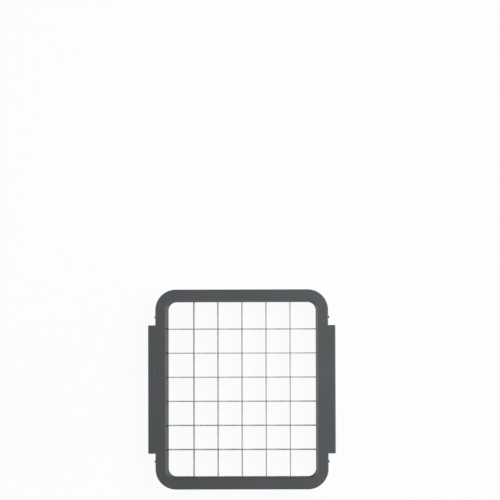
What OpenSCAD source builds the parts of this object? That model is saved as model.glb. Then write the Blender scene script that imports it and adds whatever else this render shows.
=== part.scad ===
// Cutting-grid insert for a manual food chopper, in millimetres with +Z up.
// The origin is the middle of the underside. X runs from ear to ear and Y runs the long way.
// Two moulded frame halves clamp a set of long blades and a set of cross blades between them.
// The sets interlock with half-lap notches, and each set is threaded on two rods inside the frame.

/* [Cutting grid] */
// Distance from one blade to the next, which sets the size of the cut
cell_pitch = 10; // [8:0.5:14]
// Thickness of the blade strip
blade_t = 0.4; // [0.3:0.05:0.6]
// Height of the blade strip
blade_h = 8; // [7:0.5:12]
// Height of the ground bevel under the cutting edge
bevel_h = 0.8; // [0.4:0.1:1.6]
// Width left flat along the cutting edge
edge_t = 0.06; // [0.04:0.01:0.1]
// Length of blade that the frame holds at each end
tab_l = 3.2; // [3:0.1:3.4]
// Size of the sloping shoulder at each end of the cutting edge, which the frame covers
tab_corner = 3; // [0.5:0.1:3]

/* [Opening] */
// Extra width of the outermost cells at the left and right, over one pitch
side_relief = 0.7; // [0.3:0.05:3]
// Extra length of the outermost cells at the front and back, over one pitch
end_relief = 1.25; // [0.3:0.05:3]
// Corner radius of the opening
opening_r = 3.4; // [2:0.1:6]
// Width of the funnel slope that leads down to the blades
funnel_w = 0.95; // [0.5:0.05:1.5]
// Height of the funnel slope
funnel_h = 0.9; // [0.6:0.05:1.3]
// Depth of the cutting edges below the top face
edge_recess = 2; // [1.75:0.25:4]
// Width of the slope that widens the opening towards the underside
exit_w = 0.6; // [0.3:0.1:1.2]
// Height of that slope
exit_h = 1.5; // [1:0.1:1.8]

/* [Frame halves] */
// Width of the frame border, from the opening to the outer wall
rim_w = 5.1; // [4.8:0.05:8]
// Height of the parting plane, where the halves meet
lower_h = 5; // [4.5:0.25:6]
// Height of the slot floors that the blades stand on
blade_floor = 2; // [1.5:0.25:2.5]
// Thickness of the skirt that overlaps the lower half
skirt_t = 0.8; // [0.6:0.05:0.9]
// Height of the skirt
skirt_h = 1.2; // [0.8:0.1:1.6]
// Distance that the lower half's outer wall stands back from the upper half's
foot_inset = 0.15; // [0:0.05:0.3]
// Distance that the frame slots stay open above the cutting edges, under the funnel slope
slot_over = 0.4; // [0.1:0.1:0.6]
// Width of the open mouths that the left wall has where the cross blades enter it
mouth_w = 0.8; // [0.7:0.1:1.5]
// Length of the mouths, from the opening into the wall
mouth_l = 0.5; // [0.3:0.05:0.9]
// Depth of the mouths' floors below the cutting edges
mouth_drop = 1; // [0.5:0.1:3]
// Diameter of the corner pegs that join the halves
peg_d = 2; // [1.6:0.1:2.2]
// Length of the corner pegs
peg_l = 4; // [2:0.1:4.2]

/* [Ears] */
// Length of each ear along the side of the frame
ear_l = 53.1; // [30:0.1:60]
// Distance that each ear stands out from the side wall
ear_out = 3; // [2:0.25:8]
// Thickness of each ear
ear_t = 3.6; // [2.6:0.2:5]

/* [Detent bumps] */
// Radius of the bumps that click into the chopper
detent_r = 0.6; // [0.55:0.05:1]
// Distance that a bump stands out from the side wall
detent_out = 0.55; // [0.3:0.05:0.55]
// Distance from the end of an ear to a bump
detent_gap = 3.35; // [2:0.05:4.5]
// Depth of the bumps below the top face
detent_drop = 3.6; // [2.4:0.1:4.4]

/* [Rods] */
// Diameter of the rods through the blade ends
rod_d = 1.2; // [0.8:0.1:1.4]
// Distance from the opening to a rod's axis
rod_inset = 1.9; // [1.6:0.1:2.1]
// Distance that a rod runs past its outermost blades
rod_overhang = 3.5; // [1:0.25:4]
// Bevel on the ends of rods and pegs
pin_bevel = 0.2; // [0.1:0.05:0.3]

/* [Clearances] */
// Gap between a blade and each side of its slot or notch
slot_side_gap = 0.05; // [0.03:0.01:0.1]
// Gap between the end of a blade or rod and the end of its slot or groove
slot_end_gap = 0.1; // [0.05:0.05:0.2]
// Gap between the notches of two crossing blades, measured along the height
lap_gap = 0.2; // [0.1:0.05:0.4]
// Radial gap round a rod
rod_gap = 0.05; // [0.02:0.01:0.1]
// Radial gap round a peg
peg_gap = 0.05; // [0.02:0.01:0.1]
// Gap between the skirt and the tongue inside it
skirt_gap = 0.1; // [0.05:0.01:0.15]
// Open seam below the skirt
seam_gap = 0.15; // [0.05:0.05:0.3]

/* [Edge rounding] */
// Radius of the top face's outer edge
top_round = 0.5; // [0.2:0.05:0.8]
// Radius of the edge between the top face and the funnel slope
funnel_round = 0.25; // [0.1:0.05:0.4]
// Radius of the ears' edges
ear_round = 0.4; // [0.2:0.05:0.6]
// Radius of the underside's outer edge
foot_round = 0.4; // [0.2:0.05:0.6]
// Radius of both edges along the seam
seam_round = 0.15; // [0.05:0.05:0.2]

/* [Hidden] */
$fn = 64;
// Each blade is a node, so the counts are fixed.
long_blades = 5;
cross_blades = 6;
opening_w = (long_blades + 1) * cell_pitch + 2 * side_relief;
opening_l = (cross_blades + 1) * cell_pitch + 2 * end_relief;
frame_w = opening_w + 2 * rim_w;
frame_l = opening_l + 2 * rim_w;
blade_top = blade_floor + blade_h;
frame_h = blade_top + edge_recess;
// Height where a long blade and a cross blade share a crossing.
lap_z = blade_floor + blade_h / 2;
notch_w = blade_t + 2 * slot_side_gap;
// Width of the lower half inside the skirt, and height of the shoulder under the skirt.
tongue_w = rim_w - skirt_t - skirt_gap;
shoulder_z = lower_h - skirt_h - seam_gap;
foot_w = rim_w - foot_inset;
// Centres of the opening's corners, which every corner of the frame shares.
corner_x = opening_w / 2 - opening_r;
corner_y = opening_l / 2 - opening_r;
// The rods at the left and right hold the cross blades, and those at the front and back the long blades.
side_rod_l = (cross_blades - 1) * cell_pitch + 2 * rod_overhang;
end_rod_l = (long_blades - 1) * cell_pitch + 2 * rod_overhang;
// The ears start this far inside the side wall, so they fuse with the frame under its rounded edge.
ear_root = 1;
detent_y = ear_l / 2 + detent_gap;
// Cutters run this far past the surface that they open.
past = 1;
frame_colour = [0.33, 0.34, 0.35];
steel_colour = [0.72, 0.73, 0.74];

// Place of blade n in a set of count blades, spread evenly about the middle.
function blade_place(n, count) = (n - (count + 1) / 2) * cell_pitch;
long_places = [for (n = [1:long_blades]) blade_place(n, long_blades)];
cross_places = [for (n = [1:cross_blades]) blade_place(n, cross_blades)];

// The waste outside a rounding of radius r at the tip of a profile.
// The two directions point from the tip along the edges that meet there.
module round_off(tip, along_a, along_b, r) {
    a = along_a / norm(along_a);
    b = along_b / norm(along_b);
    half_angle = acos(a * b) / 2;
    inward = (a + b) / norm(a + b);
    centre = tip + inward * r / sin(half_angle);
    reach = r / tan(half_angle);
    difference() {
        polygon([tip - inward * r, tip + a * reach, centre, tip + b * reach]);
        translate(centre) circle(r);
    }
}

// Sweeps a profile round the opening. The profile's x is the distance outward from the opening.
module swept_ring() {
    for (turn = [0, 180]) {
        rotate([0, 0, turn]) translate([opening_w / 2, corner_y, 0])
            rotate([90, 0, 0]) linear_extrude(2 * corner_y) children();
        rotate([0, 0, turn + 90]) translate([opening_l / 2, corner_x, 0])
            rotate([90, 0, 0]) linear_extrude(2 * corner_x) children();
    }
    for (corner = [[1, 1, 0], [-1, 1, 90], [-1, -1, 180], [1, -1, 270]]) {
        translate([corner.x * corner_x, corner.y * corner_y, 0]) rotate([0, 0, corner.z])
            rotate_extrude(angle = 90) translate([opening_r, 0]) children();
    }
}

// Cross-section of the lower half: exit slope inside, foot below, tongue above the shoulder.
module lower_profile() {
    difference() {
        polygon([
            [0, exit_h], [exit_w, 0], [foot_w, 0], [foot_w, shoulder_z],
            [tongue_w, shoulder_z], [tongue_w, lower_h], [0, lower_h]
        ]);
        round_off([foot_w, 0], [-1, 0], [0, 1], foot_round);
        round_off([foot_w, shoulder_z], [-1, 0], [0, -1], seam_round);
    }
}

// Cross-section of the upper half: funnel slope inside, skirt hanging outside the tongue.
module upper_profile() {
    skirt_z = lower_h - skirt_h;
    skirt_u = rim_w - skirt_t;
    difference() {
        polygon([
            [0, lower_h], [skirt_u, lower_h], [skirt_u, skirt_z], [rim_w, skirt_z],
            [rim_w, frame_h], [funnel_w, frame_h], [0, frame_h - funnel_h]
        ]);
        round_off([rim_w, frame_h], [-1, 0], [0, -1], top_round);
        round_off([funnel_w, frame_h], [1, 0], [-funnel_w, -funnel_h], funnel_round);
        round_off([rim_w, skirt_z], [-1, 0], [0, 1], seam_round);
    }
}

// The slots that take the ends of both blade sets, between two heights.
module blade_slots(low, high) {
    reach = 2 * (tab_l + slot_end_gap);
    for (x = long_places) {
        translate([x - notch_w / 2, -(opening_l + reach) / 2, low])
            cube([notch_w, opening_l + reach, high - low]);
    }
    for (y = cross_places) {
        translate([-(opening_w + reach) / 2, y - notch_w / 2, low])
            cube([opening_w + reach, notch_w, high - low]);
    }
}

// The mouths over the slots in the left wall, open through the funnel slope.
module slot_mouths() {
    for (y = cross_places) {
        translate([-opening_w / 2 - mouth_l, y - mouth_w / 2, blade_top - mouth_drop])
            cube([mouth_l + past, mouth_w, edge_recess + mouth_drop + past]);
    }
}

// A straight pin along +Z with bevelled ends, centred on its middle.
module pin(d, length) {
    rotate_extrude() polygon([
        [0, -length / 2], [d / 2 - pin_bevel, -length / 2], [d / 2, -length / 2 + pin_bevel],
        [d / 2, length / 2 - pin_bevel], [d / 2 - pin_bevel, length / 2], [0, length / 2]
    ]);
}

// Places whatever is drawn along +Z on the line of the left (-1) or right (1) rod.
module on_side_rod_line(side) {
    translate([side * (opening_w / 2 + rod_inset), 0, lower_h]) rotate([90, 0, 0]) children();
}

// The same for the front (-1) or back (1) rod.
module on_end_rod_line(side) {
    translate([0, side * (opening_l / 2 + rod_inset), lower_h]) rotate([0, 90, 0]) children();
}

// The round channels that both halves leave for the rods.
module rod_grooves() {
    groove_r = rod_d / 2 + rod_gap;
    for (side = [-1, 1]) {
        on_side_rod_line(side) cylinder(r = groove_r, h = side_rod_l + 2 * slot_end_gap, center = true);
        on_end_rod_line(side) cylinder(r = groove_r, h = end_rod_l + 2 * slot_end_gap, center = true);
    }
}

// Places a child at each corner peg, in the middle of the tongue.
module at_pegs() {
    out = (opening_r + tongue_w / 2) * sqrt(1 / 2);
    for (sx = [-1, 1], sy = [-1, 1]) {
        translate([sx * (corner_x + out), sy * (corner_y + out), 0]) children();
    }
}

// An ear on the right side, as the shared volume of its front, side and top outlines.
module ear() {
    inner_x = frame_w / 2 - ear_root;
    outer_x = frame_w / 2 + ear_out;
    under_z = frame_h - ear_t;
    intersection() {
        translate([0, ear_l / 2, 0]) rotate([90, 0, 0]) linear_extrude(ear_l) difference() {
            translate([inner_x, under_z]) square([outer_x - inner_x, ear_t]);
            round_off([outer_x, frame_h], [-1, 0], [0, -1], ear_round);
            round_off([outer_x, under_z], [-1, 0], [0, 1], ear_round);
        }
        translate([inner_x, 0, 0]) rotate([90, 0, 90]) linear_extrude(outer_x - inner_x) difference() {
            translate([-ear_l / 2, under_z]) square([ear_l, ear_t]);
            for (side = [-1, 1]) {
                round_off([side * ear_l / 2, frame_h], [-side, 0], [0, -1], ear_round);
                round_off([side * ear_l / 2, under_z], [-side, 0], [0, 1], ear_round);
            }
        }
        translate([0, 0, under_z]) linear_extrude(ear_t) difference() {
            translate([inner_x, -ear_l / 2]) square([outer_x - inner_x, ear_l]);
            for (side = [-1, 1]) {
                round_off([outer_x, side * ear_l / 2], [-1, 0], [0, -side], ear_round);
            }
        }
    }
}

// A blade along X: notches between two heights let the crossing blades through.
module blade(span, notch_places, notch_low, notch_high) {
    length = span + 2 * tab_l;
    hole_s = span / 2 + rod_inset;
    difference() {
        rotate([90, 0, 0]) linear_extrude(blade_t, center = true) difference() {
            polygon([
                [-length / 2, blade_floor], [length / 2, blade_floor],
                [length / 2, blade_top - tab_corner], [length / 2 - tab_corner, blade_top],
                [-length / 2 + tab_corner, blade_top], [-length / 2, blade_top - tab_corner]
            ]);
            for (s = notch_places) {
                translate([s - notch_w / 2, notch_low]) square([notch_w, notch_high - notch_low]);
            }
            for (side = [-1, 1]) {
                translate([side * hole_s, lower_h]) circle(rod_d / 2 + rod_gap);
            }
        }
        for (side = [0, 1]) {
            mirror([0, side, 0]) translate([-length / 2 - past, 0, 0]) rotate([90, 0, 90])
                linear_extrude(length + 2 * past) polygon([
                    [edge_t / 2, blade_top], [blade_t / 2, blade_top - bevel_h],
                    [blade_t / 2 + past, blade_top - bevel_h], [blade_t / 2 + past, blade_top + past],
                    [edge_t / 2, blade_top + past]
                ]);
        }
    }
}

// Long blade n, counted from the left, with its notches open downward.
module long_blade(n) {
    color(steel_colour) translate([long_places[n - 1], 0, 0]) rotate([0, 0, 90])
        blade(opening_l, cross_places, blade_floor - past, lap_z + lap_gap / 2);
}

// Cross blade n, counted from the front, with its notches open upward.
module cross_blade(n) {
    color(steel_colour) translate([0, cross_places[n - 1], 0])
        blade(opening_w, long_places, lap_z - lap_gap / 2, blade_top + past);
}

// The half that the blades stand in, with holes for the pegs.
module lower_frame() {
    color(frame_colour) difference() {
        swept_ring() lower_profile();
        blade_slots(blade_floor, lower_h + past);
        rod_grooves();
        at_pegs() translate([0, 0, -past]) cylinder(d = peg_d + 2 * peg_gap, h = lower_h + 2 * past);
    }
}

// The half that closes over the blades, with its ears, bumps and pegs.
module upper_frame() {
    // The pegs reach a little way up into the frame, so they fuse with it.
    peg_root = 1;
    color(frame_colour) {
        difference() {
            union() {
                swept_ring() upper_profile();
                for (side = [0, 1]) {
                    mirror([side, 0, 0]) ear();
                }
            }
            blade_slots(lower_h - past, blade_top + slot_over);
            slot_mouths();
            rod_grooves();
        }
        for (sx = [-1, 1], sy = [-1, 1]) {
            translate([sx * (frame_w / 2 + detent_out - detent_r), sy * detent_y, frame_h - detent_drop])
                sphere(detent_r);
        }
        at_pegs() translate([0, 0, lower_h + (peg_root - peg_l) / 2]) pin(peg_d, peg_l + peg_root);
    }
}

module long_blade_1() { long_blade(1); }
module long_blade_2() { long_blade(2); }
module long_blade_3() { long_blade(3); }
module long_blade_4() { long_blade(4); }
module long_blade_5() { long_blade(5); }

module cross_blade_1() { cross_blade(1); }
module cross_blade_2() { cross_blade(2); }
module cross_blade_3() { cross_blade(3); }
module cross_blade_4() { cross_blade(4); }
module cross_blade_5() { cross_blade(5); }
module cross_blade_6() { cross_blade(6); }

module left_rod() { color(steel_colour) on_side_rod_line(-1) pin(rod_d, side_rod_l); }
module right_rod() { color(steel_colour) on_side_rod_line(1) pin(rod_d, side_rod_l); }
module front_rod() { color(steel_colour) on_end_rod_line(-1) pin(rod_d, end_rod_l); }
module back_rod() { color(steel_colour) on_end_rod_line(1) pin(rod_d, end_rod_l); }

lower_frame();
upper_frame();
long_blade_1();
long_blade_2();
long_blade_3();
long_blade_4();
long_blade_5();
cross_blade_1();
cross_blade_2();
cross_blade_3();
cross_blade_4();
cross_blade_5();
cross_blade_6();
left_rod();
right_rod();
front_rod();
back_rod();
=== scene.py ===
# %% [markdown]
# # A cutting grid for a food chopper
# The real object is a small kitchen part: a dark moulded frame that holds thin steel blades in a square grid.
# It could be modelled from nothing, but its pieces were already built to size as CAD solids.
# So the solids are loaded as a fixed frame, and each piece below stands for one of them or finishes one.

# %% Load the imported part
import math

import bmesh
import bpy
from mathutils import Matrix, Vector


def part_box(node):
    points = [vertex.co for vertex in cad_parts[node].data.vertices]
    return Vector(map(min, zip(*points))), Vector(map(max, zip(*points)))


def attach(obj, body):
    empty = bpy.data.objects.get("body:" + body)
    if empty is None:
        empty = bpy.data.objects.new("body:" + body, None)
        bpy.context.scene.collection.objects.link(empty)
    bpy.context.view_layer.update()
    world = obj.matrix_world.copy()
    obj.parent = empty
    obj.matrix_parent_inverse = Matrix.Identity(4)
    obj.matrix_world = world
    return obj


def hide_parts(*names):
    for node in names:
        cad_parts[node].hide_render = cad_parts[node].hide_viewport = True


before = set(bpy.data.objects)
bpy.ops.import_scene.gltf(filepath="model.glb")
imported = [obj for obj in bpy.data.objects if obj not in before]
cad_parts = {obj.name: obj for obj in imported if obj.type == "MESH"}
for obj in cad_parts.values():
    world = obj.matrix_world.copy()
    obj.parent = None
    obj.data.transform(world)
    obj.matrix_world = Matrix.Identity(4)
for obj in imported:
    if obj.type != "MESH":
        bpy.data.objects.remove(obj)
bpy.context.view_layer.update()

# %% [markdown]
# ## Sizes
# A blade is 0.4 mm thick, and Blender's mesh operators have fixed tolerances that suit sizes near 1.
# Working in metres would bring such small bevels close to those tolerances.
# So the pieces are modelled in millimetres, and each mesh is scaled to metres when it is finished.
# Places come from the CAD boxes, and only sizes that a box can't tell are written out.

# %% Read the main sizes from the frame
MM = 0.001


def box_mm(node):
    """Lowest and highest corner of a CAD node, in millimetres."""
    low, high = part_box(node)
    return low / MM, high / MM


long_blades = [f"long_blade_{n}" for n in range(1, 6)]
cross_blades = [f"cross_blade_{n}" for n in range(1, 7)]
side_rods = ["left_rod", "right_rod"]
end_rods = ["front_rod", "back_rod"]

rim_w = 5.1
opening_r = 3.4
ear_out = 3.0
ear_reach, frame_reach, frame_top = box_mm("upper_frame")[1]
parting_z = box_mm("lower_frame")[1].z
side_wall = ear_reach - ear_out
opening_x = side_wall - rim_w
opening_y = frame_reach - rim_w
corner_x = opening_x - opening_r
corner_y = opening_y - opening_r
long_places = [sum(corner.x for corner in box_mm(node)) / 2 for node in long_blades]
cross_places = [sum(corner.y for corner in box_mm(node)) / 2 for node in cross_blades]
blade_low, blade_high = box_mm(long_blades[0])
blade_t = blade_high.x - blade_low.x
print(f"opening {2 * opening_x:.2f} by {2 * opening_y:.2f} mm, blades {blade_t:.2f} mm thick")

# %% [markdown]
# ## From a bmesh to a piece
# A bmesh is Blender's editable mesh, and every piece is modelled in one.
# A moulded edge looks right only if its flat faces stay flat and its roundings look smooth.
# So faces are shaded smooth, edges over a set angle are kept sharp, and a Weighted Normal modifier lets
# the large flat faces decide the shading next to a rounding.

# %% Turn a bmesh into an object
SHARP_ANGLE = math.radians(32)
MERGE = 0.0005


def make_piece(name, bm):
    """Finishes a bmesh in millimetres as an object in metres, at the origin."""
    bmesh.ops.remove_doubles(bm, verts=bm.verts, dist=MERGE)
    bmesh.ops.dissolve_degenerate(bm, edges=bm.edges, dist=MERGE)
    bmesh.ops.recalc_face_normals(bm, faces=bm.faces)
    bmesh.ops.scale(bm, verts=bm.verts, vec=(MM, MM, MM))
    for face in bm.faces:
        face.smooth = True
    mesh = bpy.data.meshes.new(name)
    bm.to_mesh(mesh)
    bm.free()
    mesh.set_sharp_from_angle(angle=SHARP_ANGLE)
    piece = bpy.data.objects.new(name, mesh)
    bpy.context.scene.collection.objects.link(piece)
    flat = piece.modifiers.new("flat_faces_lead", "WEIGHTED_NORMAL")
    flat.keep_sharp = True
    print(f"{name}: {len(mesh.vertices)} points, {len(mesh.polygons)} faces")
    return piece


# %% [markdown]
# ## One outline, swept round the opening
# Both frame halves are rings with one cross-section all the way round.
# A ring could be cut from a block, but then each rounded edge would need its own bevel at every corner.
# Sweeping is simpler: the outline is drawn once as a flat face and its corners are rounded there.
# Its loop of edges is then extruded along each straight side and spun a quarter turn at each corner.

# %% Round a corner of the outline
ROUND_STEPS = 6


def round_corner(bm, corner, radius):
    """Rounds one corner of a flat outline."""
    one, two = [edge.other_vert(corner).co - corner.co for edge in corner.link_edges]
    reach = radius / math.tan(one.angle(two) / 2)
    bmesh.ops.bevel(
        bm, geom=[corner], offset=reach, offset_type="OFFSET", affect="VERTICES",
        segments=ROUND_STEPS, profile=0.5, material=-1,
    )


# %% Sweep the outline
CORNER_STEPS = 24


def swept_ring(points, radii):
    """A closed ring. Points give the outline as (outward from the opening, up), and radii round some."""
    bm = bmesh.new()
    corners = [bm.verts.new((opening_x + out, -corner_y, up)) for out, up in points]
    bm.faces.new(corners)
    for index, radius in radii.items():
        round_corner(bm, corners[index], radius)
    bmesh.ops.delete(bm, geom=bm.faces[:], context="FACES_ONLY")
    loop = bm.edges[:]
    # Each straight run along a side is followed by a turn about the centre of the next corner.
    sides = [
        ((0, 2 * corner_y, 0), (corner_x, corner_y, 0)),
        ((-2 * corner_x, 0, 0), (-corner_x, corner_y, 0)),
        ((0, -2 * corner_y, 0), (-corner_x, -corner_y, 0)),
        ((2 * corner_x, 0, 0), (corner_x, -corner_y, 0)),
    ]
    for run, centre in sides:
        made = bmesh.ops.extrude_edge_only(bm, edges=loop)["geom"]
        moved = [item for item in made if isinstance(item, bmesh.types.BMVert)]
        bmesh.ops.translate(bm, verts=moved, vec=run)
        loop = [item for item in made if isinstance(item, bmesh.types.BMEdge) and item.is_boundary]
        turned = bmesh.ops.spin(
            bm, geom=moved + loop, cent=centre, axis=(0, 0, 1), angle=math.pi / 2, steps=CORNER_STEPS
        )["geom_last"]
        loop = [item for item in turned if isinstance(item, bmesh.types.BMEdge)]
    bmesh.ops.remove_doubles(bm, verts=bm.verts, dist=MERGE)
    bmesh.ops.recalc_face_normals(bm, faces=bm.faces)
    return bm


# %% [markdown]
# ## Joining and cutting
# Slots, grooves and peg holes are cut from the ring, and ears, bumps and a low mark are joined to it.
# They could be modelled face by face, but a Boolean modifier does it from simple tool shapes.
# The exact solver is used because the ears' top face lies in the same plane as the ring's.

# %% A Boolean from two bmeshes
def loose_object(name, bm):
    """A temporary object for a bmesh."""
    mesh = bpy.data.meshes.new(name)
    bm.to_mesh(mesh)
    bm.free()
    item = bpy.data.objects.new(name, mesh)
    bpy.context.scene.collection.objects.link(item)
    return item


def combine(base, tool, operation):
    """A new bmesh: the base with the tool joined to it (UNION) or cut from it (DIFFERENCE)."""
    base_item = loose_object("base", base)
    tool_item = loose_object("tool", tool)
    step = base_item.modifiers.new("combine", "BOOLEAN")
    step.operation = operation
    step.solver = "EXACT"
    step.object = tool_item
    result = bmesh.new()
    result.from_object(base_item, bpy.context.evaluated_depsgraph_get())
    for item in (base_item, tool_item):
        mesh = item.data
        bpy.data.objects.remove(item)
        bpy.data.meshes.remove(mesh)
    return result


# %% [markdown]
# ## Slots for the blades
# Each blade end stands in a slot of the frame. The slots go into both halves, so one function makes their
# tools between any two heights.
# Every slot is its own short box at the wall, because tools that cross each other make a Boolean harder.

# %% Slot tools
PAST = 1.0
tab_l = 3.2
slot_side_gap = 0.05
slot_end_gap = 0.1
slot_w = blade_t + 2 * slot_side_gap
slot_deep = tab_l + slot_end_gap


def add_box(bm, low, high):
    """Adds a box between two corners and returns its vertices."""
    low, high = Vector(low), Vector(high)
    place = Matrix.Translation((low + high) / 2) @ Matrix.Diagonal((*(high - low), 1))
    return bmesh.ops.create_cube(bm, size=1, matrix=place)["verts"]


def wall_slots(low_z, high_z):
    """Tools for the slots at both ends of every blade."""
    bm = bmesh.new()
    for side in (-1, 1):
        for x in long_places:
            ends = sorted((side * (opening_y - PAST), side * (opening_y + slot_deep)))
            add_box(bm, (x - slot_w / 2, ends[0], low_z), (x + slot_w / 2, ends[1], high_z))
        for y in cross_places:
            ends = sorted((side * (opening_x - PAST), side * (opening_x + slot_deep)))
            add_box(bm, (ends[0], y - slot_w / 2, low_z), (ends[1], y + slot_w / 2, high_z))
    return bm


print(f"{2 * (len(long_places) + len(cross_places))} slots, {slot_w:.2f} mm wide and {slot_deep:.2f} mm deep")

# %% [markdown]
# ## Grooves for the rods
# A steel rod through the blade ends lies in a round groove between the two halves.
# The groove takes its place and its radius from the CAD rod, so the two can't drift apart.

# %% Groove tools
ROUND_SIDES = 48
rod_gap = 0.05


def add_cylinder(bm, radius, length, place):
    """Adds a closed cylinder along the place's own Z and returns its vertices."""
    return bmesh.ops.create_cone(
        bm, cap_ends=True, segments=ROUND_SIDES, radius1=radius, radius2=radius, depth=length, matrix=place
    )["verts"]


def rod_line(node):
    """Where a rod lies: its length, its radius, and the place that lays +Z along it."""
    low, high = box_mm(node)
    size = high - low
    turn = Matrix.Rotation(math.pi / 2, 4, "X" if size.y > size.x else "Y")
    return max(size), size.z / 2, Matrix.Translation((low + high) / 2) @ turn


def rod_grooves():
    """Tools for the round channels that the rods lie in."""
    bm = bmesh.new()
    for node in side_rods + end_rods:
        length, radius, place = rod_line(node)
        add_cylinder(bm, radius + rod_gap, length + 2 * slot_end_gap, place)
    return bm


print(f"{len(side_rods + end_rods)} grooves, {rod_gap} mm clear of the rods all round")

# %% [markdown]
# ## The upper half: ears
# The upper half is the piece that shows: a flat top face, a funnel slope that leads down to the blades, and
# a long ear on each side that rests on the chopper's wall.
# An ear could be part of the swept outline only if it ran all the way round, so it is a box of its own.
# Its outer edges are bevelled, and its root reaches into the ring so that the two join.

# %% Ears
ear_l = 53.1
ear_t = 3.6
ear_root = 1.0
ear_round = 0.4


def bevel_edges(bm, edges, radius, steps):
    """Rounds edges of a solid."""
    bmesh.ops.bevel(
        bm, geom=edges, offset=radius, offset_type="OFFSET", affect="EDGES",
        segments=steps, profile=0.5, material=-1,
    )


def edges_among(verts, keep):
    """The edges of some vertices for which keep says yes to the edge's middle."""
    edges = {edge for vert in verts for edge in vert.link_edges}
    return [edge for edge in edges if keep((edge.verts[0].co + edge.verts[1].co) / 2)]


def add_ear(bm, side):
    """A long square ear with every outer edge rounded."""
    inner = side * (side_wall - ear_root)
    outer = side * ear_reach
    low = (min(inner, outer), -ear_l / 2, frame_top - ear_t)
    high = (max(inner, outer), ear_l / 2, frame_top)
    verts = add_box(bm, low, high)
    outer_edges = edges_among(verts, lambda middle: abs(middle.x - inner) > MERGE)
    bevel_edges(bm, outer_edges, ear_round, ROUND_STEPS)


print(f"ears {ear_l} mm long, {ear_t} mm thick, {ear_out} mm out from the wall")

# %% [markdown]
# ## The upper half: bumps and pegs
# Four small bumps beside the ears click into the chopper's walls. Each is a sphere half sunk in the wall.
# Four pegs hang below the half's corners and push into holes in the lower half. A peg is a cylinder with a
# bevelled tip, which helps it find its hole.

# %% Bumps and pegs
SMALL_STEPS = 3
detent_r = 0.6
detent_out = 0.55
detent_gap = 3.35
detent_drop = 3.6
peg_d = 2.0
peg_l = 4.0
peg_root = 1.0
peg_bevel = 0.2
skirt_t = 0.8
skirt_gap = 0.1
tongue_w = rim_w - skirt_t - skirt_gap
CORNERS = [(sx, sy) for sx in (-1, 1) for sy in (-1, 1)]


def add_bump(bm, sx, sy):
    """A round bump on a side wall, past the end of an ear."""
    place = (
        sx * (side_wall + detent_out - detent_r), sy * (ear_l / 2 + detent_gap), frame_top - detent_drop
    )
    bmesh.ops.create_uvsphere(
        bm, u_segments=ROUND_SIDES, v_segments=ROUND_SIDES // 2, radius=detent_r,
        matrix=Matrix.Translation(place),
    )


def peg_places():
    """The corner pegs stand in the middle of the tongue that the skirt surrounds."""
    out = (opening_r + tongue_w / 2) / math.sqrt(2)
    return [(sx * (corner_x + out), sy * (corner_y + out)) for sx, sy in CORNERS]


def add_peg(bm, x, y):
    """A peg that hangs below the parting plane, with a bevelled tip."""
    tip = parting_z - peg_l
    root = parting_z + peg_root
    verts = add_cylinder(bm, peg_d / 2, root - tip, Matrix.Translation((x, y, (root + tip) / 2)))
    tip_edges = edges_among(verts, lambda middle: middle.z < tip + MERGE)
    bevel_edges(bm, tip_edges, peg_bevel, SMALL_STEPS)


def upper_additions():
    """Everything that is moulded onto the upper ring."""
    bm = bmesh.new()
    for side in (-1, 1):
        add_ear(bm, side)
    for sx, sy in CORNERS:
        add_bump(bm, sx, sy)
    for x, y in peg_places():
        add_peg(bm, x, y)
    return bm


print(f"{len(CORNERS)} bumps, {detent_out} mm out, and {len(peg_places())} pegs, {peg_d} mm across")

# %% [markdown]
# ## The upper half: a raised mark
# A few low bars at the root of the left ear are a plain mark that tells the left side from the right.
# They could be drawn as bump in the material, but then they would be missing from the mesh.
# So each is a low box with its top edges bevelled, and every other one is shifted sideways.

# %% Raised mark
mark_bars = 4
mark_l = 2.1
mark_w = 0.7
mark_h = 0.2
mark_bevel = 0.16
mark_pitch = 3.0
mark_shift = 0.6
mark_y = 2.2


def raised_mark():
    """Low bars in a zigzag, which mark the left side."""
    bm = bmesh.new()
    for step in range(mark_bars):
        x = -side_wall + mark_shift * (-1) ** step
        y = mark_y + (step - (mark_bars - 1) / 2) * mark_pitch
        low = (x - mark_w / 2, y - mark_l / 2, frame_top - mark_h)
        high = (x + mark_w / 2, y + mark_l / 2, frame_top + mark_h)
        verts = add_box(bm, low, high)
        top_edges = edges_among(verts, lambda middle: middle.z > frame_top + mark_h - MERGE)
        bevel_edges(bm, top_edges, mark_bevel, SMALL_STEPS)
    return bm


print(f"a mark of {mark_bars} bars, {mark_h} mm high")

# %% [markdown]
# ## The upper half, put together
# In the left wall the slots open through the slope, so each blade end there shows a small dark mouth.
# The outline has the skirt that hangs over the lower half, and the funnel slope at the top of the opening.
# What stands out is joined to the swept ring first, and the slots, mouths and grooves are cut last.

# %% Sweep and cut the upper half
skirt_h = 1.2
funnel_w = 0.95
funnel_h = 0.9
top_round = 0.5
funnel_round = 0.25
lip_round = 0.15
seam_round = 0.15
slot_over = 0.4
mouth_w = 0.8
mouth_l = 0.5
mouth_drop = 1.0

skirt_in = rim_w - skirt_t
skirt_z = parting_z - skirt_h


def slot_mouths():
    """Tools for the mouths in the left wall, which open the slots through the funnel slope."""
    bm = bmesh.new()
    for y in cross_places:
        low = (-opening_x - mouth_l, y - mouth_w / 2, blade_high.z - mouth_drop)
        high = (-opening_x + PAST, y + mouth_w / 2, frame_top + PAST)
        add_box(bm, low, high)
    return bm


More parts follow.
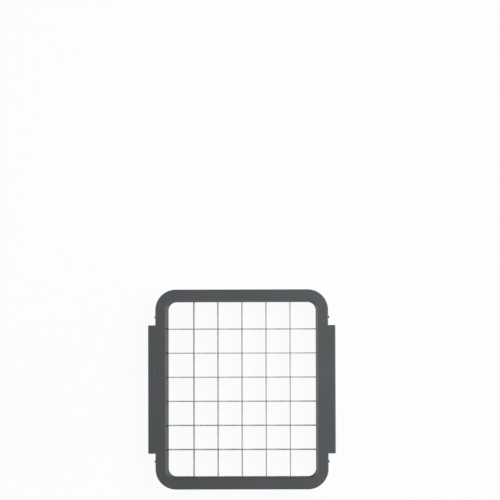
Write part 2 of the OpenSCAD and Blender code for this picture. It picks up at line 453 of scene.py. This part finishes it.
upper_outline = [
    (0, parting_z), (skirt_in, parting_z), (skirt_in, skirt_z), (rim_w, skirt_z),
    (rim_w, frame_top), (funnel_w, frame_top), (0, frame_top - funnel_h),
]
upper = swept_ring(upper_outline, {3: seam_round, 4: top_round, 5: funnel_round, 6: lip_round})
upper = combine(upper, upper_additions(), "UNION")
upper = combine(upper, raised_mark(), "UNION")
upper = combine(upper, wall_slots(parting_z - PAST, blade_high.z + slot_over), "DIFFERENCE")
upper = combine(upper, slot_mouths(), "DIFFERENCE")
upper = combine(upper, rod_grooves(), "DIFFERENCE")
upper_moulding = make_piece("upper_moulding", upper)

# %% [markdown]
# ## The lower half: holes and prints
# The pegs of the upper half push into four holes that go right through.
# The underside shows how the piece was made, with shallow round prints of the pins that pushed it out of
# the mould.
# Both are cut with cylinders about the underside's plane, so half of each tool hangs below it.

# %% Hole and print tools
exit_w = 0.6
foot_inset = 0.15
peg_gap = 0.05
pin_print_r = 1.3
pin_print_depth = 0.08
side_pin_shares = (-0.7, 0, 0.7)
end_pin_shares = (-0.6, 0.6)

foot_w = rim_w - foot_inset
pin_line = (exit_w + foot_w) / 2


def peg_holes():
    """Tools for the four holes that take the pegs."""
    bm = bmesh.new()
    for x, y in peg_places():
        add_cylinder(bm, peg_d / 2 + peg_gap, 2 * (parting_z + PAST), Matrix.Translation((x, y, 0)))
    return bm


def pin_prints():
    """Tools for the prints of the ejector pins: three along each side and two along each end."""
    bm = bmesh.new()
    side_x = opening_x + pin_line
    end_y = opening_y + pin_line
    places = [(sx * side_x, share * corner_y) for sx in (-1, 1) for share in side_pin_shares]
    places += [(share * corner_x, sy * end_y) for sy in (-1, 1) for share in end_pin_shares]
    for x, y in places:
        add_cylinder(bm, pin_print_r, 2 * pin_print_depth, Matrix.Translation((x, y, 0)))
    return bm


print(f"holes {peg_d + 2 * peg_gap:.1f} mm wide, prints {pin_print_depth} mm deep")

# %% [markdown]
# ## The lower half, put together
# The lower half carries the blades: its slots set how deep they stand, and a slope widens the opening towards
# the underside. A step in its outer wall takes the upper half's skirt.
# It is made in the same way as the upper half, from its own outline.

# %% Sweep and cut the lower half
exit_h = 1.5
foot_round = 0.4
seam_gap = 0.15
shoulder_z = skirt_z - seam_gap

lower_outline = [
    (0, exit_h), (exit_w, 0), (foot_w, 0), (foot_w, shoulder_z),
    (tongue_w, shoulder_z), (tongue_w, parting_z), (0, parting_z),
]
lower = swept_ring(lower_outline, {2: foot_round, 3: seam_round})
lower = combine(lower, wall_slots(blade_low.z, parting_z + PAST), "DIFFERENCE")
lower = combine(lower, rod_grooves(), "DIFFERENCE")
lower = combine(lower, peg_holes(), "DIFFERENCE")
lower = combine(lower, pin_prints(), "DIFFERENCE")
lower_moulding = make_piece("lower_moulding", lower)

# %% [markdown]
# ## The rods
# Four lengths of steel wire run through holes in the blade ends, so that no blade can be pulled out.
# A curve with a round profile would give a wire too, but its ends would stay sharp.
# So each rod is a cylinder that is bevelled at both ends and then laid where the CAD rod is.

# %% Rods
rod_bevel = 0.2


def make_rod(node):
    """A straight wire with bevelled ends, in the place of a CAD rod."""
    length, radius, place = rod_line(node)
    bm = bmesh.new()
    verts = add_cylinder(bm, radius, length, Matrix.Identity(4))
    end_edges = edges_among(verts, lambda middle: abs(middle.z) > length / 2 - MERGE)
    bevel_edges(bm, end_edges, rod_bevel, SMALL_STEPS)
    bmesh.ops.transform(bm, matrix=place, verts=bm.verts)
    return make_piece(f"{node}_wire", bm)


rods = {node: make_rod(node) for node in side_rods + end_rods}

# %% [markdown]
# ## Colours and nodes
# Colours are written as the eye and a colour picker know them, in sRGB hex. Blender's shaders work with
# linear light, so one function converts them. Another adds a node, sets it up and links it in one call.
# Inputs go by name, but a Mix node has several inputs called A and B. There 2 and 3 are the two numbers and
# 6 and 7 the two colours, and its outputs 0 and 2 give the mixed number and the mixed colour.

# %% Colour and node helpers
def linear(hex_colour):
    """An sRGB hex colour as linear red, green, blue and alpha, by the formula of the sRGB standard."""
    shares = [int(hex_colour[start:start + 2], 16) / 255 for start in (1, 3, 5)]
    return (*[s / 12.92 if s <= 0.04045 else ((s + 0.055) / 1.055) ** 2.4 for s in shares], 1)


def add_node(tree, kind, inputs=None, **settings):
    """Adds a node with its settings. An input given a socket is linked, and one given a value is set."""
    node = tree.nodes.new(kind)
    for name, value in settings.items():
        setattr(node, name, value)
    for name, value in (inputs or {}).items():
        if isinstance(value, bpy.types.NodeSocket):
            tree.links.new(value, node.inputs[name])
        else:
            node.inputs[name].default_value = value
    return node


def new_material(name):
    """An empty node material and its tree."""
    material = bpy.data.materials.new(name)
    material.use_nodes = True
    material.node_tree.nodes.clear()
    return material, material.node_tree


print(f"middle grey, #808080, is {linear('#808080')[0]:.3f} in linear light")

# %% [markdown]
# ## Dark grey moulded ABS
# The frame is injection-moulded ABS, a tough plastic with an IOR of about 1.54. The steel mould was spark
# eroded, which leaves a fine matt grain, so highlights are wide and soft. Flow in the mould leaves clouds.
# The real grain is about 0.05 mm wide and 0.01 mm deep, too fine to show here, so it is drawn 7 times as
# coarse. Clouds and grain are noise on Object coordinates, so they need no UV map.

# %% Plastic
abs_ior = 1.54
cloud_w = 14.0
cloud_detail = 3.0
cloud_span = (0.3, 0.7)
cloud_tones = ("#464a4a", "#4b4e52")
grain_w = 0.35
grain_detail = 2.0
grain_depth = 0.07
grain_strength = 0.8
grain_roughness = (0.42, 0.56)


def moulded_plastic():
    """Spark-eroded dark grey ABS: a fine matt grain and faint clouds of colour."""
    material, tree = new_material("spark_eroded_abs")
    place = add_node(tree, "ShaderNodeTexCoord").outputs["Object"]
    cloud = add_node(
        tree, "ShaderNodeTexNoise", {"Vector": place, "Scale": 1 / (cloud_w * MM), "Detail": cloud_detail}
    ).outputs["Fac"]
    grain = add_node(
        tree, "ShaderNodeTexNoise", {"Vector": place, "Scale": 1 / (grain_w * MM), "Detail": grain_detail}
    ).outputs["Fac"]
    colour = add_node(tree, "ShaderNodeValToRGB", {"Fac": cloud})
    for stop, position, tone in zip(colour.color_ramp.elements, cloud_span, cloud_tones):
        stop.position = position
        stop.color = linear(tone)
    smooth, rough = grain_roughness
    matt = add_node(tree, "ShaderNodeMapRange", {"Value": grain, "To Min": smooth, "To Max": rough})
    relief = add_node(
        tree, "ShaderNodeBump", {"Height": grain, "Strength": grain_strength, "Distance": grain_depth * MM}
    )
    shader = add_node(
        tree, "ShaderNodeBsdfPrincipled",
        {
            "Base Color": colour.outputs["Color"], "Roughness": matt.outputs["Result"],
            "Normal": relief.outputs["Normal"], "IOR": abs_ior,
        },
    )
    add_node(tree, "ShaderNodeOutputMaterial", {"Surface": shader.outputs["BSDF"]})
    return material


plastic = moulded_plastic()
for moulding in (upper_moulding, lower_moulding):
    moulding.data.materials.append(plastic)
print(plastic.name, "on", upper_moulding.name, "and", lower_moulding.name)

# %% [markdown]
# ## Steel with fine lines
# Blades and rods are stainless steel that was rolled or drawn, and both ways leave fine lines along it.
# An image could show them, but noise that is stretched along one axis gives lines of a set width anywhere.
# The lines lie about 0.02 mm apart on the real steel, and here they are drawn about 0.15 mm apart so that
# they show. They also steer the gloss and a slight relief, so highlights break up along them.

# %% Line pattern and metal surface
line_w = 0.15
line_l = 9.0
line_detail = 2.0
line_depth = 0.004
X_AXIS, Y_AXIS, Z_AXIS = range(3)


def fine_lines(tree, place, axis):
    """Lines along one axis: noise that is stretched that way."""
    scale = [1 / (line_w * MM)] * 3
    scale[axis] = 1 / (line_l * MM)
    spread = add_node(tree, "ShaderNodeMapping", {"Vector": place, "Scale": scale})
    return add_node(
        tree, "ShaderNodeTexNoise", {"Vector": spread.outputs["Vector"], "Scale": 1.0, "Detail": line_detail}
    ).outputs["Fac"]


def metal_surface(tree, colour, lines, roughness, strength):
    """Ends a metal's tree: its gloss and relief follow its lines."""
    smooth, rough = roughness
    gloss = add_node(tree, "ShaderNodeMapRange", {"Value": lines, "To Min": smooth, "To Max": rough})
    relief = add_node(
        tree, "ShaderNodeBump", {"Height": lines, "Strength": strength, "Distance": line_depth * MM}
    )
    shader = add_node(
        tree, "ShaderNodeBsdfPrincipled",
        {
            "Base Color": colour, "Metallic": 1.0, "Roughness": gloss.outputs["Result"],
            "Normal": relief.outputs["Normal"],
        },
    )
    add_node(tree, "ShaderNodeOutputMaterial", {"Surface": shader.outputs["BSDF"]})


print(f"lines about {line_w} mm apart and {line_l:.0f} mm long")

# %% [markdown]
# ## Rolled stainless strip
# The blades are punched from cold-rolled stainless strip, with lines along the strip. The two cutting bevels
# are ground across it, so they are brighter and their lines stand upright.
# The CAD blades have the right shape already, so they stay and only get this finish.

# %% Blade steel
bevel_h = 0.8
strip_span = (0.3, 0.7)
strip_tones = ("#c2c4c6", "#dadcdd")
bevel_tone = "#d4d6d8"
strip_roughness = (0.24, 0.4)
strip_relief = 0.25


def rolled_strip(name, long_axis):
    """Cold-rolled stainless strip with ground cutting bevels, for blades that run along one axis."""
    material, tree = new_material(name)
    place = add_node(tree, "ShaderNodeTexCoord").outputs["Object"]
    rolled_lines = fine_lines(tree, place, long_axis)
    ground_lines = fine_lines(tree, place, Z_AXIS)
    height = add_node(tree, "ShaderNodeSeparateXYZ", {"Vector": place}).outputs["Z"]
    ground = add_node(
        tree, "ShaderNodeMath", {0: height, 1: (blade_high.z - bevel_h) * MM}, operation="GREATER_THAN"
    ).outputs["Value"]
    lines = add_node(
        tree, "ShaderNodeMix", {"Factor": ground, 2: rolled_lines, 3: ground_lines}
    ).outputs[0]
    rolled = add_node(tree, "ShaderNodeValToRGB", {"Fac": lines})
    for stop, position, tone in zip(rolled.color_ramp.elements, strip_span, strip_tones):
        stop.position = position
        stop.color = linear(tone)
    colour = add_node(
        tree, "ShaderNodeMix", {"Factor": ground, 6: rolled.outputs["Color"], 7: linear(bevel_tone)},
        data_type="RGBA", blend_type="MIX",
    )
    metal_surface(tree, colour.outputs[2], lines, strip_roughness, strip_relief)
    return material


for nodes, name, axis in (
    (long_blades, "rolled_stainless_y", Y_AXIS), (cross_blades, "rolled_stainless_x", X_AXIS)
):
    strip = rolled_strip(name, axis)
    for node in nodes:
        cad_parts[node].data.materials.clear()
        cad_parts[node].data.materials.append(strip)
    print(name, "on", len(nodes), "blades")

# %% [markdown]
# ## Drawn stainless wire
# The rods are wire that was pulled through a die, which leaves long bright lines along it.
# They could share the strip's finish, but drawn wire is a little darker than the strip, and smoother.
# So it has tones and a gloss of its own over the same pattern of lines.

# %% Rod steel
wire_tones = ("#93969a", "#b4b7b9")
wire_roughness = (0.18, 0.32)
wire_relief = 0.2


def drawn_wire(name, long_axis):
    """Drawn stainless wire with fine lines along one axis."""
    material, tree = new_material(name)
    place = add_node(tree, "ShaderNodeTexCoord").outputs["Object"]
    lines = fine_lines(tree, place, long_axis)
    drawn = add_node(tree, "ShaderNodeValToRGB", {"Fac": lines})
    for stop, tone in zip(drawn.color_ramp.elements, wire_tones):
        stop.color = linear(tone)
    metal_surface(tree, drawn.outputs["Color"], lines, wire_roughness, wire_relief)
    return material


for nodes, name, axis in (
    (side_rods, "drawn_stainless_y", Y_AXIS), (end_rods, "drawn_stainless_x", X_AXIS)
):
    wire = drawn_wire(name, axis)
    for node in nodes:
        rods[node].data.materials.append(wire)
    print(name, "on", len(nodes), "rods")

# %% [markdown]
# ## Each piece on its body
# A piece rides on the CAD body that it belongs to, so it moves when the insert is taken apart.
# Parenting it by hand would move it too, but these calls also hide the CAD solid that the piece stands for.

# %% Ride and replace
riders = [
    (upper_moulding, "upper_frame", "upper_frame", "frame_plastic"),
    (lower_moulding, "lower_frame", "lower_frame", "frame_plastic"),
]
riders += [(rods[node], node, "cross_blades", "rod_steel") for node in side_rods]
riders += [(rods[node], node, "long_blades", "rod_steel") for node in end_rods]
for piece, node, body, slot in riders:
    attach(piece, body)
    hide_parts(node)
    print(f"{piece.name} stands for {node} and rides on {body}")

# %% [markdown]
# ## A white floor
# The part lies on plain white. A floor lit only by lamps would need so much light that the part looked pale.
# So the floor is a blend of plain diffuse white, which keeps the part's shadow, and a white glow.
# A Light Path node tells which kind of ray asks. The camera sees nearly all glow. Soft light gets a part of
# it, which lights the underside. Polished steel sees less of it, so the blades keep their contrast.
# From below, the floor is clear, so that the underside can be looked at.

# %% Floor
WHITE = "#ffffff"
floor_tone = "#f4f4f4"
FLOOR_HALF = 3.0
FLOOR_LEVELS = (0.35, 0.24, 0.95)


def level_for_ray(tree, levels):
    """The level for a ray: soft light, then mirror-like rays and rays through glass, then the camera."""
    path = add_node(tree, "ShaderNodeLightPath").outputs
    level, mirror, camera = levels
    for ray, own in (("Is Transmission Ray", mirror), ("Is Glossy Ray", mirror), ("Is Camera Ray", camera)):
        level = add_node(tree, "ShaderNodeMix", {"Factor": path[ray], 2: level, 3: own}).outputs[0]
    return level


def white_floor():
    """A blend of diffuse white and a white glow, clear from behind."""
    material, tree = new_material("white_floor")
    lit = add_node(tree, "ShaderNodeBsdfDiffuse", {"Color": linear(floor_tone)}).outputs["BSDF"]
    glow = add_node(tree, "ShaderNodeEmission", {"Color": linear(WHITE), "Strength": 1.0})
    share = level_for_ray(tree, FLOOR_LEVELS)
    front = add_node(tree, "ShaderNodeMixShader", {0: share, 1: lit, 2: glow.outputs["Emission"]})
    behind = add_node(tree, "ShaderNodeNewGeometry").outputs["Backfacing"]
    clear = add_node(tree, "ShaderNodeBsdfTransparent").outputs["BSDF"]
    both = add_node(tree, "ShaderNodeMixShader", {0: behind, 1: front.outputs["Shader"], 2: clear})
    add_node(tree, "ShaderNodeOutputMaterial", {"Surface": both.outputs["Shader"]})
    return material


bm = bmesh.new()
bmesh.ops.create_grid(bm, x_segments=1, y_segments=1, size=FLOOR_HALF)
floor = loose_object("floor", bm)
floor.data.materials.append(white_floor())
print(f"floor {2 * FLOOR_HALF:.0f} m wide, levels {FLOOR_LEVELS}")

# %% [markdown]
# ## A white world
# Rays that miss both the part and the floor meet the world, which stands for the walls of a white studio.
# A picture of such a room could light the part, but plain white with a level for each kind of ray is enough.
# The camera sees it in full. Polished steel sees a little under half of it, and soft light only a tenth, so
# that the lamps shape the part.

# %% World
WORLD_LEVELS = (0.1, 0.45, 1.0)

scene = bpy.context.scene
world = bpy.data.worlds.new("studio")
scene.world = world
world.use_nodes = True
sky = world.node_tree
sky.nodes.clear()
strength = level_for_ray(sky, WORLD_LEVELS)
backdrop = add_node(sky, "ShaderNodeBackground", {"Color": linear(WHITE), "Strength": strength})
add_node(sky, "ShaderNodeOutputWorld", {"Surface": backdrop.outputs["Background"]})
print("world levels", WORLD_LEVELS)

# %% [markdown]
# ## Studio light
# The key light is a soft box above the part's back right corner, so the top face grows lighter towards it.
# A low strip at each side grazes the part. It hardly reaches the flat top, but it brightens the funnel slopes
# that face left and right, which sets them off from the face as in the photograph. A weaker strip at the
# front lifts the slope at the back to the tone of the face. Lamps are placed and sized in metres.

# %% Lamps
key_place = (0.33, 0.15, 0.42)
key_size = (0.3, 0.3)
key_power = 2.3
strip_far = 0.6
strip_z = 0.1
strip_size = (0.6, 0.16)
lamp_aim = Vector((0, 0, 0.01))


def add_lamp(name, place, size, power):
    """A rectangular area lamp that points at the part."""
    data = bpy.data.lights.new(name, "AREA")
    data.shape = "RECTANGLE"
    data.size, data.size_y = size
    data.energy = power
    lamp = bpy.data.objects.new(name, data)
    lamp.location = place
    lamp.rotation_euler = (lamp_aim - Vector(place)).to_track_quat("-Z", "Y").to_euler()
    lamp.visible_camera = False
    scene.collection.objects.link(lamp)
    print(f"{name}: {power} W")


add_lamp("key_box", key_place, key_size, key_power)
for name, x, y, power in (
    ("right_strip", strip_far, 0, 1.2),
    ("left_strip", -strip_far, 0, 2.4),
    ("front_strip", 0, -strip_far, 1.0),
):
    add_lamp(name, (x, y, strip_z), strip_size, power)
scene.view_settings.view_transform = "Standard"

# %% [markdown]
# ## The camera
# The photograph was taken from almost straight above, from a little over a metre away. The opening's left and
# front walls show more than the other two, so the camera stands slightly to the right and to the back.
# Its place follows from the picture: the grid's pitch gives the scale, and the pixel at the grid's middle
# gives the aim, measured along the picture's own right and up, which are turned a little against the part.

# %% Camera
PICTURE_W = 500
PART_PIXEL = (241.8, 389.45)
SENSOR_W = 36
CLIP_NEAR = 0.01
CLIP_FAR = 20
pixel_mm = 0.4137
camera_far = 1200.0
camera_over = (21.0, 14.0)
picture_roll = math.radians(0.14)

to_right = (PICTURE_W / 2 - PART_PIXEL[0]) * pixel_mm
to_top = (PART_PIXEL[1] - PICTURE_W / 2) * pixel_mm
picture_right = Vector((math.cos(picture_roll), -math.sin(picture_roll), 0))
picture_up = Vector((math.sin(picture_roll), math.cos(picture_roll), 0))
top_middle = Vector((0, 0, frame_top))
aim = top_middle + to_right * picture_right + to_top * picture_up
stand = top_middle + Vector((*camera_over, camera_far))
ahead = (aim - stand).normalized()
right = ahead.cross(picture_up).normalized()
turn = Matrix((right, right.cross(ahead), -ahead)).transposed()

lens = bpy.data.cameras.new("camera")
lens.sensor_width = SENSOR_W
lens.lens = SENSOR_W * ahead.dot(top_middle - stand) / (PICTURE_W * pixel_mm)
lens.clip_start = CLIP_NEAR
lens.clip_end = CLIP_FAR
camera = bpy.data.objects.new("camera", lens)
camera.matrix_world = Matrix.Translation(stand * MM) @ turn.to_4x4()
scene.collection.objects.link(camera)
scene.camera = camera
print(f"camera {camera_far * MM:.1f} m away, lens {lens.lens:.0f} mm")
